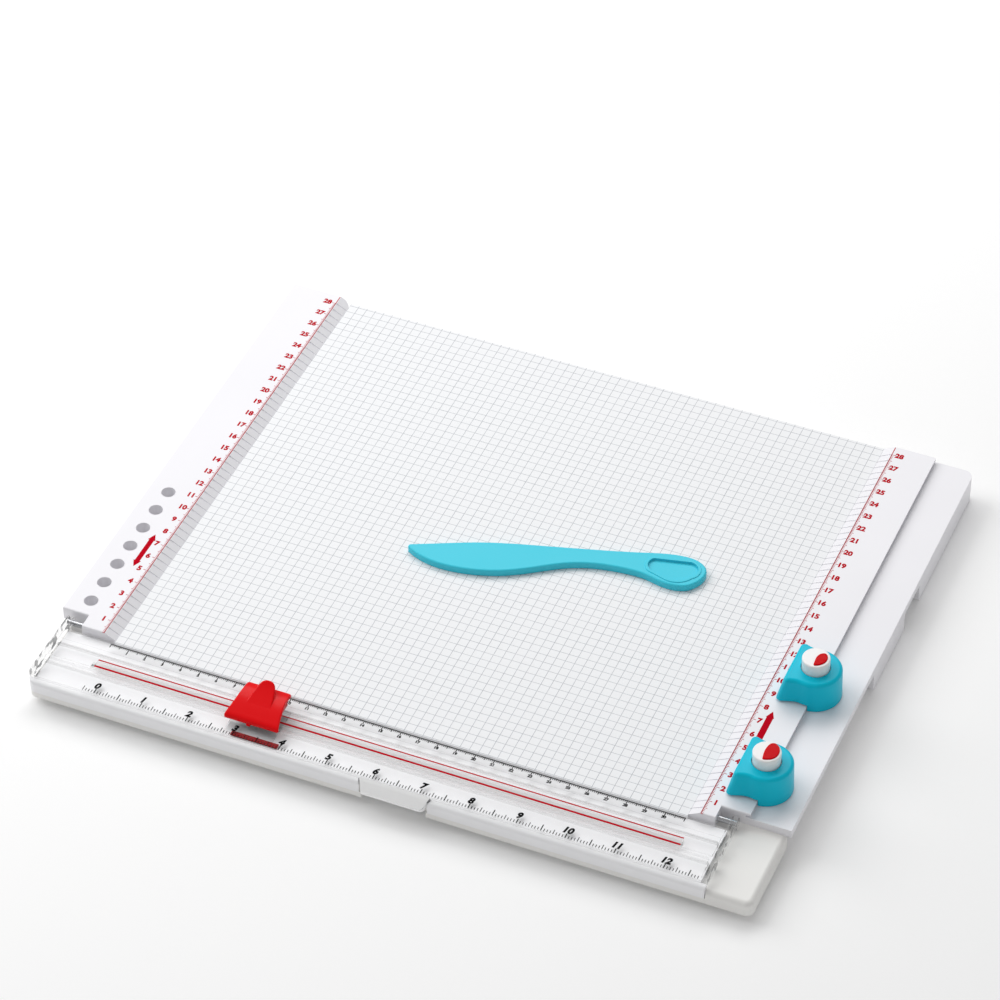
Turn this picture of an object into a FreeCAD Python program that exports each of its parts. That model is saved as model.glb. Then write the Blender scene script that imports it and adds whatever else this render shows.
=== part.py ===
import FreeCAD, Part
import math
import os

# Paper trimmer and scoring board, 12 inch. Millimetres, +Z up, +X along the front, +Y to the back.
# Sizes are counted from the front left corner of the scoring grid, at the height of its surface,
# and each finished piece is then moved so that the origin is the bottom centre of the whole object.
Vector = FreeCAD.Vector

# Scoring board
CELL = 5.0
COLUMNS = 62
ROWS = 57
BOARD_T = 4.0
BACK_MARGIN = 1.5

# Side bars
BAR_RISE = 3.4
BEVEL_W = 5.9
LEFT_BAR_W = 34.0
RIGHT_BAR_W = 28.7
BAR_START = 0.9
ARM_NOTCH_W = 15.0
ARM_NOTCH_D = 8.3
BAR_EDGE_R = 0.8
BEVEL_END_R = 4.5
SCORE_GROOVE_W = 1.0
SCORE_GROOVE_D = 0.5

# Binder peg holes in the left bar
PEG_D = 7.5
PEG_COUNT = 7
PEG_PITCH = 14.7
PEG_INSET = 11.0
PEG_FIRST_Y = 19.2

# Side ledge, where the punches stand
LEDGE_W = 21.3
LEDGE_RISE = 0.5
LEDGE_CORNER_R = 5.0
SKIRT_T = 2.6
SKIRT_GROUND_GAP = 0.3
SKIRT_FRONT_Y = 129.0
GRIP_NOTCH_Y = 176.0
GRIP_NOTCH_L = 23.0

# Base tray, its cover and feet
TRAY_H = 8.3
TRAY_WALL = 2.4
TRAY_INSET = 4.7
PLATE_INSET = 2.0
SIDE_INSET = 9.0
TRAY_BACK_INSET = 2.5
TRAY_CORNER_R = 4.0
TRAY_RIM_R = 2.8
RIB_T = 1.6
COVER_T = 1.8
FOOT_D = 14.0
FOOT_H = 3.8
FOOT_INSET = 14.0

# Cutting bed at the front, under the rail
BED_T = 2.4
BED_LIP = 2.6
BED_LIP_T = 1.7
BED_LIP_DROP = 4.5
BED_LIP_PROUD = 0.5
BED_LIP_SEAM = 0.4
BED_EDGE_R = 2.0
STRIP_W = 5.0
STRIP_T = 1.4
STRIP_GROOVE_W = 1.4
STRIP_GROOVE_D = 0.9

# Clear rail: depths from its back edge to its front edge, and heights above the board
RAIL_BACK_GAP = 1.0
SCALE_BEVEL_D = 2.0
BAND_D = 8.0
BACK_RIDGE_D = 4.7
TRACK_D = 7.9
FRONT_RIDGE_D = 5.4
FLAT_D = 10.4
BAND_TOP = 1.4
RIDGE_TOP = 2.6
TRACK_TOP = 1.0
FLAT_TOP = 0.5
RAIL_EDGE_TOP = 0.4
WALL_TOP = 3.0
ARM_T = 3.0
RAIL_WALL = 1.2
SKIN_T = 0.9
FRONT_FOOT_D = 1.2
SLOT_W = 3.2
SLOT_MARGIN = 1.5
SLOT_PAST_BOARD = 4.3

# Rail hinge
HINGE_Y = 4.5
HINGE_Z = -0.5
HINGE_R = 3.2
PIN_D = 3.0
PIN_SEAT = 9.0
PIN_RECESS = 0.4

# Lift tab of the rail, the notch behind it in the bed and the finger recess under it in the tray
TAB_X = 171.5
TAB_ROOT_W = 38.5
TAB_TIP_W = 32.4
TAB_REACH = 5.2
TAB_DROP = 5.4
TAB_T = 1.4
TAB_CORNER_R = 2.5
TAB_SIDE_GAP = 0.5
RECESS_MARGIN = 1.0
RECESS_D = 4.5

# Cutter carriage
CARRIAGE_X = 90.2
SLIDER_L = 21.4
SLIDER_T = 1.5
SLIDER_OVERHANG = 0.8
GUIDE_L = 19.6
SHELL_FRONT_W = 30.2
SHELL_BACK_W = 24.0
SHELL_FRONT_D = 11.7
SHELL_BACK_D = 11.2
SHELL_WAIST = 1.0
SHELL_T = 1.6
SHELL_RISE = 2.4
SHELL_BACK_R = 1.4
SHELL_FRONT_R = 0.9
SHELL_EDGE_R = 0.6
LUG_W = 2.0
LUG_SHIFT = -1.6
LUG_DROP = 1.7
LUG_T = 0.6
FIN_RISE = 5.6
FIN_T = 2.3
FIN_ROOT_W = 16.8
FIN_TIP_W = 9.2
FIN_EDGE_R = 0.8
STEM_L = 10.2
HOLDER_L = 5.0
HOLDER_T = 2.0
BLADE_R = 4.6
BLADE_T = 0.4
PRESS_TRAVEL = 1.0
SHOE_L = 26.0
SHOE_T = 0.5
CURSOR_L = 25.4
CURSOR_D = 2.8
CURSOR_INSET = 0.9
CURSOR_SHIFT = 4.0
CARRIAGE_SPRING_R = 2.2
SPRING_WALL = 0.6

# Edge punches: place of each along the bar, then the sizes that both share
PUNCH_YS = {"front": 32.3, "rear": 101.7}
PUNCH_R = 13.9
PUNCH_TOP_R = 13.4
PUNCH_HALF_L = 17.0
PUNCH_TOP_HALF_L = 15.0
PUNCH_REACH = 16.2
PUNCH_TOP_REACH = 12.0
PUNCH_CENTRE_X = 0.8
PUNCH_TOP = 18.5
PUNCH_EDGE_R = 2.0
PUNCH_CORNER_R = 2.5
PUNCH_WAIST_R = 11.0
PUNCH_JOINT_ANGLE = 70.0
PUNCH_FLOOR_T = 1.2
PAPER_GAP = 1.0
BUTTON_R = 7.1
BUTTON_RING = 0.4
BUTTON_RISE = 6.4
BUTTON_EDGE_R = 0.7
COLLAR_R = 8.3
COLLAR_T = 2.0
BUTTON_LIP_T = 2.5
BUTTON_WALL = 1.6
BUTTON_TRAVEL = 3.6
CUTTER_R = 2.0
CUTTER_X = 4.2
DIE_W = 8.4
DIE_L = 12.6
DIE_POST_R = 1.2
DIE_POST_H = 1.5
CLIP_T = 1.0
CLIP_REACH = 2.1
INLAY_T = 0.9
INLAY_RISE = 0.6
INLAY_EDGE_R = 0.4
INLAY_TIP_R = 0.7
PUNCH_SPRING_R = 2.4
PUNCH_SPRING_X = -2.6

# Bone folder, lying loose on the board: place of its tip, turn and sizes
FOLDER_TIP = (109.2, 119.6)
FOLDER_TURN = 15.6
FOLDER_T = 3.8
FOLDER_L = 154.3
FOLDER_EDGE_R = 1.0
FOLDER_TIP_R = 1.5
POCKET_D = 1.0
RIM_W = 1.5
RIM_RISE = 0.4
RIM_EDGE_R = 0.35

# Screws
SCREW_R = 1.4
SCREW_HEAD_R = 2.8
SCREW_HEAD_T = 1.6
BOSS_R = 3.6
DECK_SCREW_L = 6.0

# Clearances
GAP = 0.3
PRESS_GAP = 0.02
PIN_CLEARANCE = 0.06
SLIDE_CLEARANCE = 0.2

# Levels and lines that follow from the sizes above
BOARD_X = CELL * COLUMNS
BOARD_Y = CELL * ROWS
DECK_BACK = BOARD_Y + BACK_MARGIN
LEFT_X = -LEFT_BAR_W
EDGE_X = BOARD_X + RIGHT_BAR_W
RIGHT_X = EDGE_X + LEDGE_W
TRAY_TOP = -BOARD_T
TRAY_BOTTOM = TRAY_TOP - TRAY_H
GROUND = TRAY_BOTTOM - FOOT_H
NOTCH_BACK = BAR_START + ARM_NOTCH_D
BED_TOP = TRAY_TOP + BED_T
RAIL_BOTTOM = BED_TOP + GAP
RAIL_LEFT = LEFT_X + TRAY_INSET
RAIL_RIGHT = EDGE_X - TRAY_INSET
BAND_FRONT = -RAIL_BACK_GAP - BAND_D
TRACK_BACK = BAND_FRONT - BACK_RIDGE_D
TRACK_FRONT = TRACK_BACK - TRACK_D
FLAT_BACK = TRACK_FRONT - FRONT_RIDGE_D
RAIL_FRONT = FLAT_BACK - FLAT_D
FRONT_Y = RAIL_FRONT - BED_LIP
TRAY_FRONT = FRONT_Y + BED_LIP_PROUD
SLOT_Y = (TRACK_BACK + TRACK_FRONT) / 2
CHANNEL_TOP = FLAT_TOP - SKIN_T
TAB_TIP_Y = RAIL_FRONT - TAB_REACH
BAR_TOP = BAR_RISE
ORIGIN = Vector((LEFT_X + RIGHT_X) / 2, (TAB_TIP_Y + DECK_BACK) / 2, GROUND)


# Shape helpers

def box(x0, x1, y0, y1, z0, z1):
    return Part.makeBox(x1 - x0, y1 - y0, z1 - z0, Vector(x0, y0, z0))


def rod(radius, x, y, z0, z1):
    return Part.makeCylinder(radius, z1 - z0, Vector(x, y, z0))


def rod_x(radius, x0, x1, y, z):
    return Part.makeCylinder(radius, x1 - x0, Vector(x0, y, z), Vector(1, 0, 0))


def tube(outer, wall, x, y, z0, z1):
    return rod(outer, x, y, z0, z1).cut(rod(outer - wall, x, y, z0, z1))


def prism_x(points, x0, x1):
    """A solid along X with the outline given as (y, z)."""
    corners = [Vector(x0, y, z) for y, z in points]
    return Part.Face(Part.makePolygon(corners + corners[:1])).extrude(Vector(x1 - x0, 0, 0))


def prism_y(points, y0, y1):
    """A solid along Y with the outline given as (x, z)."""
    corners = [Vector(x, y0, z) for x, z in points]
    return Part.Face(Part.makePolygon(corners + corners[:1])).extrude(Vector(0, y1 - y0, 0))


def prism_z(edges, z0, z1):
    """An upright solid over a closed outline of edges drawn at height 0."""
    face = Part.Face(Part.Wire(Part.__sortEdges__(edges)))
    face.translate(Vector(0, 0, z0))
    return face.extrude(Vector(0, 0, z1 - z0))


def line(a, b):
    return Part.makeLine(Vector(*a), Vector(*b))


def arc(a, b, c):
    return Part.Arc(Vector(*a), Vector(*b), Vector(*c)).toShape()


def curve(points):
    spline = Part.BSplineCurve()
    spline.interpolate([Vector(*point) for point in points])
    return spline.toShape()


def fuse(shapes):
    return shapes[0].multiFuse(shapes[1:]).removeSplitter()


def cut(shape, tools):
    return shape.cut(Part.makeCompound(tools))


def fillet(shape, radius, wanted):
    """Round the edges for which wanted(edge's box) is true."""
    return shape.makeFillet(radius, [edge for edge in shape.Edges if wanted(edge.BoundBox)])


def upright(box_of_edge):
    return box_of_edge.ZLength > 1 and box_of_edge.XLength + box_of_edge.YLength < 0.01


# Base tray and what closes it

def tray_outline():
    """Plan of the tray: a wide plate at the front, set back further under the side ledge."""
    plate_right = RIGHT_X - PLATE_INSET
    side_right = RIGHT_X - SIDE_INSET
    back = DECK_BACK - TRAY_BACK_INSET
    corners = [(RAIL_LEFT, TRAY_FRONT), (plate_right, TRAY_FRONT), (plate_right, NOTCH_BACK),
               (side_right, NOTCH_BACK), (side_right, back), (RAIL_LEFT, back)]
    ends = corners[1:] + corners[:1]
    return [line((a[0], a[1], 0), (b[0], b[1], 0)) for a, b in zip(corners, ends)]


def cavity(x0, x1, y0, y1, top):
    return box(x0 + TRAY_WALL, x1 - TRAY_WALL, y0 + TRAY_WALL, y1 - TRAY_WALL, TRAY_BOTTOM, top)


def cavity_bounds():
    """Lengths that the tray's hollow has, with its walls, between the sides and behind the recess."""
    return (RAIL_LEFT, RIGHT_X - SIDE_INSET, FRONT_Y + RECESS_D, DECK_BACK - TRAY_BACK_INSET)


def finger_recess():
    """Cut-out in the tray's front edge, as wide as the tip of the lift tab above it."""
    half = TAB_TIP_W / 2 + RECESS_MARGIN
    return box(TAB_X - half, TAB_X + half, FRONT_Y - 1, FRONT_Y + RECESS_D, TRAY_BOTTOM - 1, TRAY_TOP + 1)


def cover_screw_places():
    x0, x1, y0, y1 = cavity_bounds()
    reach = TRAY_WALL + BOSS_R
    rows = [y0 + reach, (y0 + y1) / 2, y1 - reach]
    return [(x, y) for x in (x0 + reach, x1 - reach) for y in rows]


def deck_screw_places():
    """Screws that hold the two bars down on the tray."""
    left = LEFT_X / 2 + BEVEL_W / 2
    right = BOARD_X + RIGHT_BAR_W / 2
    rows = [BOARD_Y * share for share in (0.12, 0.46, 0.8)]
    return [(x, y) for x in (left, right) for y in rows]


def base_tray():
    skin = TRAY_TOP - TRAY_WALL
    x0, x1, y0, y1 = cavity_bounds()
    tray = prism_z(tray_outline(), TRAY_BOTTOM, TRAY_TOP)
    tray = fillet(tray, TRAY_CORNER_R, lambda b: upright(b) and b.YMin < TRAY_FRONT + 0.1)
    tray = fillet(tray, TRAY_RIM_R, lambda b: b.ZMin > TRAY_TOP - 0.01 and b.YMax < NOTCH_BACK + 0.01
                  and not (b.YMin > NOTCH_BACK - 0.01))
    tray = tray.cut(cavity(x0, x1, y0, y1, skin))
    ribs = [box(x0 + TRAY_WALL, x1 - TRAY_WALL, y - RIB_T / 2, y + RIB_T / 2, TRAY_BOTTOM + COVER_T, skin)
            for y in (y0 + (y1 - y0) / 4, y0 + (y1 - y0) * 3 / 4)]
    bosses = [rod(BOSS_R, x, y, TRAY_BOTTOM + COVER_T, skin) for x, y in cover_screw_places()]
    tray = fuse([tray] + ribs + bosses)
    lip = box(RAIL_LEFT - 1, RAIL_RIGHT + GAP, FRONT_Y - 1, FRONT_Y + BED_LIP_T,
              TRAY_TOP - BED_LIP_DROP - BED_LIP_SEAM, TRAY_TOP + 1)
    pilots = [rod(SCREW_R + PRESS_GAP, x, y, TRAY_BOTTOM, skin) for x, y in cover_screw_places()]
    passages = [rod(SCREW_R + GAP, x, y, skin - 1, TRAY_TOP + 1) for x, y in deck_screw_places()]
    return cut(tray, [lip, finger_recess()] + pilots + passages)


def bottom_cover():
    x0, x1, y0, y1 = cavity_bounds()
    reach = TRAY_WALL + GAP
    plate = box(x0 + reach, x1 - reach, y0 + reach, y1 - reach, TRAY_BOTTOM, TRAY_BOTTOM + COVER_T)
    holes = [rod(SCREW_R + GAP, x, y, TRAY_BOTTOM - 1, TRAY_BOTTOM + COVER_T + 1)
             for x, y in cover_screw_places()]
    return cut(plate, holes)


def screw(x, y, under_head, length):
    head = rod(SCREW_HEAD_R, x, y, under_head - SCREW_HEAD_T, under_head)
    return head.fuse(rod(SCREW_R, x, y, under_head, under_head + length)).removeSplitter()


def cover_screws():
    length = TRAY_H - TRAY_WALL - GAP
    return Part.makeCompound([screw(x, y, TRAY_BOTTOM, length) for x, y in cover_screw_places()])


def deck_screws():
    under_head = TRAY_TOP - TRAY_WALL
    return Part.makeCompound([screw(x, y, under_head, DECK_SCREW_L) for x, y in deck_screw_places()])


def rubber_feet():
    x0, x1, y0, y1 = cavity_bounds()
    feet = []
    for x in (x0 + FOOT_INSET + TRAY_WALL, x1 - FOOT_INSET - TRAY_WALL):
        for y in (y0 + FOOT_INSET, y1 - FOOT_INSET):
            foot = rod(FOOT_D / 2, x, y, GROUND, TRAY_BOTTOM)
            rim = [edge for edge in foot.Edges if edge.BoundBox.ZMax < GROUND + 0.1]
            feet.append(foot.makeChamfer(FOOT_H / 5, rim))
    return Part.makeCompound(feet)


# Deck: board, bars and ledge

def scoring_board():
    return box(0, BOARD_X, -RAIL_BACK_GAP / 2, DECK_BACK, TRAY_TOP, 0)


def bar(inner_x, outer_x):
    """A bar along the board's edge, bevelled towards the board and notched for the rail's arm."""
    towards = math.copysign(1, outer_x - inner_x)
    outline = [(inner_x, TRAY_TOP), (inner_x, 0), (inner_x + towards * BEVEL_W, BAR_TOP),
               (outer_x, BAR_TOP), (outer_x, TRAY_TOP)]
    solid = prism_y(outline, BAR_START, DECK_BACK)
    notch = sorted((outer_x + towards, outer_x - towards * ARM_NOTCH_W))
    solid = solid.cut(box(notch[0], notch[1], BAR_START - 1, NOTCH_BACK, TRAY_TOP - 1, BAR_TOP + 1))
    return fillet(solid, BAR_EDGE_R, lambda b: front_top_edge(b) or back_corner(b, outer_x))


def front_top_edge(b):
    return b.ZMin > BAR_TOP - 0.01 and b.YLength < 0.01 and b.YMax < NOTCH_BACK + 0.01


def back_corner(b, outer_x):
    return upright(b) and b.YMin > DECK_BACK - 0.01 and abs(b.XMin - outer_x) < 0.01


def score_grooves(inner_x, outer_x):
    """Grooves across the bevel, one on each grid line, that guide the scoring tool."""
    towards = math.copysign(1, outer_x - inner_x)
    run = towards * BEVEL_W
    outline = [(inner_x, SCORE_GROOVE_D), (inner_x + run, BAR_TOP + SCORE_GROOVE_D),
               (inner_x + run, BAR_TOP - SCORE_GROOVE_D), (inner_x, -SCORE_GROOVE_D / 2)]
    outline = [(x, min(z, BAR_TOP + SCORE_GROOVE_D)) for x, z in outline]
    half = SCORE_GROOVE_W / 2
    return [prism_y(outline, row * CELL - half, row * CELL + half) for row in range(1, ROWS)]


def pin_seat(x0, x1):
    return rod_x(PIN_D / 2 + PRESS_GAP, x0, x1, HINGE_Y, HINGE_Z)


def peg_places():
    return [(LEFT_X + PEG_INSET, PEG_FIRST_Y + PEG_PITCH * number) for number in range(PEG_COUNT)]


def pilot_holes(side):
    height = TRAY_TOP - TRAY_WALL + DECK_SCREW_L
    places = [place for place in deck_screw_places() if (place[0] < 0) == (side == "left")]
    return [rod(SCREW_R + PRESS_GAP, x, y, TRAY_TOP - 1, height + GAP) for x, y in places]


def left_bar():
    solid = fillet(bar(0, LEFT_X), BEVEL_END_R, lambda b: back_corner(b, 0))
    pegs = [rod(PEG_D / 2, x, y, TRAY_TOP - 1, BAR_TOP + 1) for x, y in peg_places()]
    seat_x = LEFT_X + ARM_NOTCH_W
    seat = [pin_seat(seat_x - 1, seat_x + PIN_SEAT)]
    return cut(solid, score_grooves(0, LEFT_X) + pegs + seat + pilot_holes("left"))


def punch_groove():
    """Undercut along the foot of the right bar, in which the punches' clips slide."""
    low = LEDGE_RISE + SLIDE_CLEARANCE
    return box(EDGE_X - CLIP_REACH - GAP, EDGE_X + 1, NOTCH_BACK - 1, DECK_BACK + 1,
               low, low + CLIP_T + 2 * SLIDE_CLEARANCE)


def right_bar():
    solid = bar(BOARD_X, EDGE_X)
    seat_x = EDGE_X - ARM_NOTCH_W
    seat = [pin_seat(seat_x - PIN_SEAT, seat_x + 1)]
    return cut(solid, score_grooves(BOARD_X, EDGE_X) + seat + [punch_groove()] + pilot_holes("right"))


def skirt_block(inset):
    """Block under the ledge's outer edge and back corner, its outside set in by a distance."""
    x1, y1 = RIGHT_X - inset, DECK_BACK - inset
    block = box(EDGE_X, x1, SKIRT_FRONT_Y, y1, GROUND + SKIRT_GROUND_GAP, TRAY_TOP)
    return fillet(block, LEDGE_CORNER_R - inset, lambda b: upright(b) and b.XMin > x1 - 0.01
                  and b.YMin > y1 - 0.01)


def side_ledge():
    """Flat ledge beside the right bar, with a skirt that has a notch to lift the board by."""
    ledge = box(EDGE_X, RIGHT_X, NOTCH_BACK, DECK_BACK, TRAY_TOP, LEDGE_RISE)
    ledge = fillet(ledge, LEDGE_CORNER_R, lambda b: back_corner(b, RIGHT_X))
    inside = box(EDGE_X - 1, RIGHT_X - LEDGE_CORNER_R, SKIRT_FRONT_Y - 1, DECK_BACK + 1, GROUND, TRAY_TOP)
    notch = box(RIGHT_X - SKIRT_T - 1, RIGHT_X + 1, GRIP_NOTCH_Y, GRIP_NOTCH_Y + GRIP_NOTCH_L,
                GROUND, TRAY_TOP)
    skirt = cut(skirt_block(0), [skirt_block(SKIRT_T), inside, notch])
    skirt = fillet(skirt, SKIRT_T, lambda b: b.ZMax < GROUND + SKIRT_GROUND_GAP + 0.1 and b.YLength < 0.01)
    return fuse([ledge, skirt])


# Cutting bed under the rail

def bed_section():
    """Front strip of the bed: flat on the plate, rounded in front, with a lip over the tray's edge."""
    back = FRONT_Y + BED_LIP + RAIL_WALL / 2
    corners = [(back, TRAY_TOP), (back, BED_TOP), (FRONT_Y, BED_TOP), (FRONT_Y, TRAY_TOP - BED_LIP_DROP),
               (FRONT_Y + BED_LIP_T, TRAY_TOP - BED_LIP_DROP), (FRONT_Y + BED_LIP_T, TRAY_TOP)]
    return corners, back


def front_bed():
    corners, strip_back = bed_section()
    strip = prism_x(corners, RAIL_LEFT, RAIL_RIGHT)
    strip = fillet(strip, BED_EDGE_R, lambda b: b.ZMin > BED_TOP - 0.01 and b.YMax < FRONT_Y + 0.01)
    block = box(RAIL_LEFT, RAIL_RIGHT, FRONT_Y, strip_back + TRAY_CORNER_R, TRAY_BOTTOM, 0)
    strip = strip.common(fillet(block, TRAY_CORNER_R, lambda b: upright(b) and b.YMax < FRONT_Y + 0.1
                                and b.XMax < 0))
    inner = box(RAIL_LEFT + ARM_T + GAP, RAIL_RIGHT - ARM_T - GAP, strip_back, -RAIL_BACK_GAP / 2,
                TRAY_TOP, BED_TOP)
    bed = fuse([strip, inner])
    groove = box(-SLOT_PAST_BOARD, BOARD_X + SLOT_PAST_BOARD, SLOT_Y - STRIP_W / 2, SLOT_Y + STRIP_W / 2,
                 BED_TOP - STRIP_T, BED_TOP + 1)
    return cut(bed, [groove, tab_block(TAB_SIDE_GAP, RAIL_FRONT + GAP)])


def cutting_strip():
    length = SLOT_PAST_BOARD - PRESS_GAP
    half = STRIP_W / 2 - PRESS_GAP
    strip = box(-length, BOARD_X + length, SLOT_Y - half, SLOT_Y + half, BED_TOP - STRIP_T, BED_TOP)
    half_groove = STRIP_GROOVE_W / 2
    return strip.cut(box(-length - 1, BOARD_X + length + 1, SLOT_Y - half_groove, SLOT_Y + half_groove,
                         BED_TOP - STRIP_GROOVE_D, BED_TOP + 1))


# Clear rail

def rail_section():
    """Section of the rail from its back edge to its front edge, as (y, z)."""
    back = -RAIL_BACK_GAP
    lean = (RIDGE_TOP - BAND_TOP) / 2
    front_lean = (RIDGE_TOP - FLAT_TOP) / 3
    channel_back = BAND_FRONT - RAIL_WALL
    top = [(back, RAIL_EDGE_TOP), (back - SCALE_BEVEL_D, BAND_TOP),
           (BAND_FRONT, BAND_TOP), (BAND_FRONT - lean, RIDGE_TOP),
           (TRACK_BACK + lean, RIDGE_TOP), (TRACK_BACK, TRACK_TOP), (TRACK_FRONT, TRACK_TOP),
           (TRACK_FRONT - lean, RIDGE_TOP), (FLAT_BACK + front_lean, RIDGE_TOP), (FLAT_BACK, FLAT_TOP),
           (RAIL_FRONT, FLAT_TOP)]
    under = [(RAIL_FRONT, RAIL_BOTTOM), (RAIL_FRONT + FRONT_FOOT_D, RAIL_BOTTOM),
             (RAIL_FRONT + FRONT_FOOT_D, CHANNEL_TOP), (channel_back, CHANNEL_TOP),
             (channel_back, RAIL_BOTTOM), (back, RAIL_BOTTOM)]
    return top + under


def ridge_hollow(y0, y1):
    """Hollow under a ridge, which leaves it one wall thick."""
    return [(y0 + RAIL_WALL, CHANNEL_TOP - 1), (y0 + RAIL_WALL, RIDGE_TOP - RAIL_WALL),
            (y1 - RAIL_WALL, RIDGE_TOP - RAIL_WALL), (y1 - RAIL_WALL, CHANNEL_TOP - 1)]


def rail_arm(x0):
    """End wall of the rail, drawn out to the back as the hinge arm."""
    low = TRAY_TOP + GAP
    wall_front = FRONT_Y + BED_LIP + RAIL_WALL / 2 + GAP
    taper_y = -RAIL_BACK_GAP - BAND_D
    outline = [(wall_front, low), (wall_front, WALL_TOP), (taper_y, WALL_TOP),
               (HINGE_Y, HINGE_Z + HINGE_R), (HINGE_Y, HINGE_Z - HINGE_R)]
    arm = prism_x(outline, x0, x0 + ARM_T)
    arm = arm.fuse(rod_x(HINGE_R, x0, x0 + ARM_T, HINGE_Y, HINGE_Z)).removeSplitter()
    return arm.cut(rod_x(PIN_D / 2 + PIN_CLEARANCE, x0 - 1, x0 + ARM_T + 1, HINGE_Y, HINGE_Z))


def tab_block(margin, back_y):
    """Upright block over the plan of the lift tab, grown by a margin at its two slanting sides."""
    root, tip = TAB_ROOT_W / 2 + margin, TAB_TIP_W / 2 + margin
    corners = [(TAB_X - root, back_y, 0), (TAB_X + root, back_y, 0), (TAB_X + tip, TAB_TIP_Y, 0),
               (TAB_X - tip, TAB_TIP_Y, 0)]
    sides = [line(a, b) for a, b in zip(corners, corners[1:] + corners[:1])]
    return prism_z(sides, TRAY_BOTTOM, FLAT_TOP + 1)


def lift_tab():
    """Sloping tab in front of the rail, wide at its root and rounded at its outer corners."""
    root_y = RAIL_FRONT + FRONT_FOOT_D / 2
    plan = fillet(tab_block(0, root_y), TAB_CORNER_R, lambda b: upright(b) and b.YMax < TAB_TIP_Y + 0.1)
    slope = [(root_y, FLAT_TOP), (RAIL_FRONT - TAB_T, FLAT_TOP - TAB_T), (TAB_TIP_Y, FLAT_TOP - TAB_DROP),
             (TAB_TIP_Y, FLAT_TOP - TAB_DROP - TAB_T), (TAB_TIP_Y + TAB_T, FLAT_TOP - TAB_DROP - TAB_T),
             (RAIL_FRONT, FLAT_TOP - 2 * TAB_T), (RAIL_FRONT, RAIL_BOTTOM), (root_y, RAIL_BOTTOM)]
    return plan.common(prism_x(slope, TAB_X - TAB_ROOT_W, TAB_X + TAB_ROOT_W))


def clear_rail():
    inner_left = RAIL_LEFT + ARM_T
    inner_right = RAIL_RIGHT - ARM_T
    body = prism_x(rail_section(), inner_left, inner_right)
    tools = [prism_x(ridge_hollow(y0, y1), inner_left + RAIL_WALL, inner_right - RAIL_WALL)
             for y0, y1 in ((TRACK_BACK, BAND_FRONT - RAIL_WALL), (FLAT_BACK, TRACK_FRONT))]
    tools.append(box(-SLOT_MARGIN, BOARD_X + SLOT_PAST_BOARD, SLOT_Y - SLOT_W / 2, SLOT_Y + SLOT_W / 2,
                     RAIL_BOTTOM, RIDGE_TOP))
    body = cut(body, tools)
    return fuse([body, rail_arm(RAIL_LEFT), rail_arm(inner_right), lift_tab()])


def hinge_pin(x0, x1):
    return rod_x(PIN_D / 2, x0, x1, HINGE_Y, HINGE_Z)


def hinge_pins():
    left_end = LEFT_X + ARM_NOTCH_W + PIN_SEAT
    right_start = EDGE_X - ARM_NOTCH_W - PIN_SEAT
    return {"hinge_pin_left": hinge_pin(RAIL_LEFT + PIN_RECESS, left_end),
            "hinge_pin_right": hinge_pin(right_start, RAIL_RIGHT - PIN_RECESS)}


# Cutter carriage

SLIDER_BOTTOM = RIDGE_TOP + SLIDE_CLEARANCE
SLIDER_TOP = SLIDER_BOTTOM + SLIDER_T
SHOE_TOP = CHANNEL_TOP - SLIDE_CLEARANCE
GUIDE_W = TRACK_D - 2 * SLIDE_CLEARANCE
SHELL_CLEAR = SLIDER_TOP + PRESS_TRAVEL + SLIDE_CLEARANCE
SHELL_CROWN = SHELL_CLEAR + SHELL_T + SHELL_RISE
SHELL_DROP = SHELL_CROWN - RIDGE_TOP - PRESS_TRAVEL
SPRING_FLOOR = TRACK_TOP + SLIDE_CLEARANCE + SPRING_WALL
CURSOR_FRONT = RAIL_FRONT + FRONT_FOOT_D + CURSOR_INSET - SLOT_Y


def around_slot(x0, x1, y0, y1, z0, z1):
    """A box placed from the carriage's middle and the slot's line."""
    return box(CARRIAGE_X + x0, CARRIAGE_X + x1, SLOT_Y + y0, SLOT_Y + y1, z0, z1)


def holder_window(top):
    """Opening through which the blade holder moves up and down."""
    half = HOLDER_L / 2 + GAP
    side = HOLDER_T / 2 + GAP
    return around_slot(-half, half, -side, side, BED_TOP, top)


def carriage_spring_places():
    reach = HOLDER_L / 2 + GAP + SPRING_WALL + SLIDE_CLEARANCE + CARRIAGE_SPRING_R
    return CARRIAGE_X - reach, CARRIAGE_X + reach


def carriage_slider():
    """Red slider that rides on both ridges, with a guide block in the track between them."""
    half = SLIDER_L / 2
    back = BAND_FRONT - SLOT_Y - SLIDE_CLEARANCE
    front = -TRACK_D / 2 - SLIDER_OVERHANG - SLIDE_CLEARANCE
    plate = around_slot(-half, half, front, back, SLIDER_BOTTOM, SLIDER_TOP)
    guide_bottom = TRACK_TOP + SLIDE_CLEARANCE
    guide = around_slot(-GUIDE_L / 2, GUIDE_L / 2, -GUIDE_W / 2, GUIDE_W / 2, guide_bottom, SLIDER_BOTTOM)
    stem_w = (SLOT_W - 2 * SLIDE_CLEARANCE) / 2
    stem_l = (STEM_L - HOLDER_L) / 2 - GAP
    stems = [around_slot(x0, x0 + stem_l, -stem_w, stem_w, SHOE_TOP, SLIDER_BOTTOM)
             for x0 in (-STEM_L / 2, HOLDER_L / 2 + GAP)]
    slider = fuse([plate, guide] + stems)
    pockets = [rod(CARRIAGE_SPRING_R + SLIDE_CLEARANCE, x, SLOT_Y, SPRING_FLOOR, SLIDER_TOP + 1)
               for x in carriage_spring_places()]
    return cut(slider, [holder_window(SLIDER_TOP + 1)] + pockets)


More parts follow.
